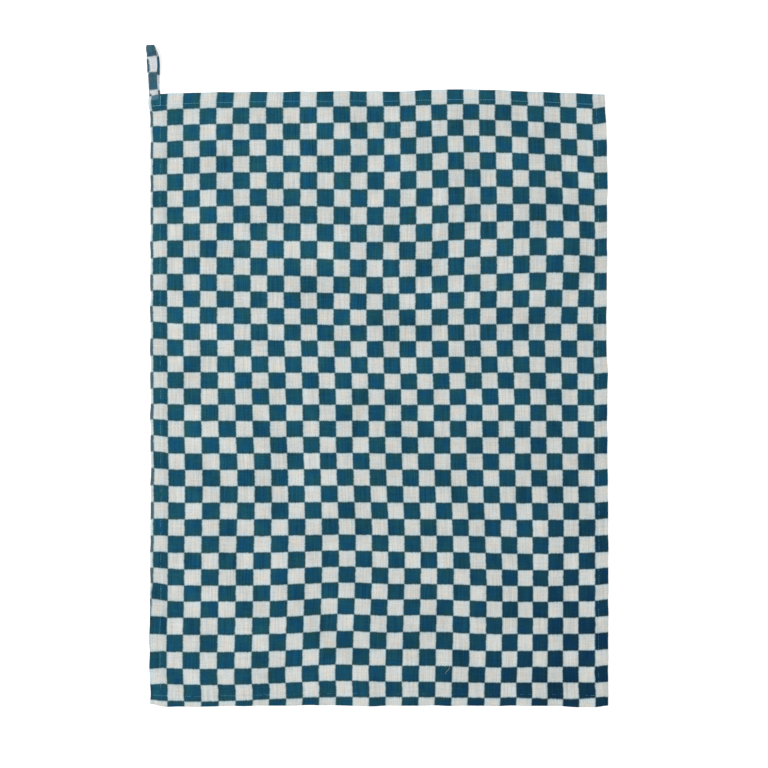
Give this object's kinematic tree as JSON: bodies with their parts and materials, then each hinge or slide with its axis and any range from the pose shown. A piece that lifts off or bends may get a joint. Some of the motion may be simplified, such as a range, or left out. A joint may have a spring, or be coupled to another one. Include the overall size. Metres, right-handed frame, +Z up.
{
  "type": "hand towel",
  "caption": "Flat rectangular woven check hand towel, hemmed all round, lying face up, with a folded tape hanging loop at one corner.",
  "frame": {"origin": "middle of the footprint of towel and loop together, on the surface that the towel lies on", "axes": "+Z up, out of the towel's face; +Y along its length, towards the end that has the loop; +X across its width, with the loop at the corner at -X"},
  "size_m": [0.5286, 0.7556, 0.0088],
  "materials": {
    "check_cloth": "double-cloth check of dark teal and pale undyed yarn, slightly slubbed, matte",
    "loop_tape": "narrow folded tape of the same check, matte"
  },
  "bodies": {
    "root": {"towel_cloth": "check_cloth", "hanging_loop": "loop_tape"}
  },
  "joints": []
}
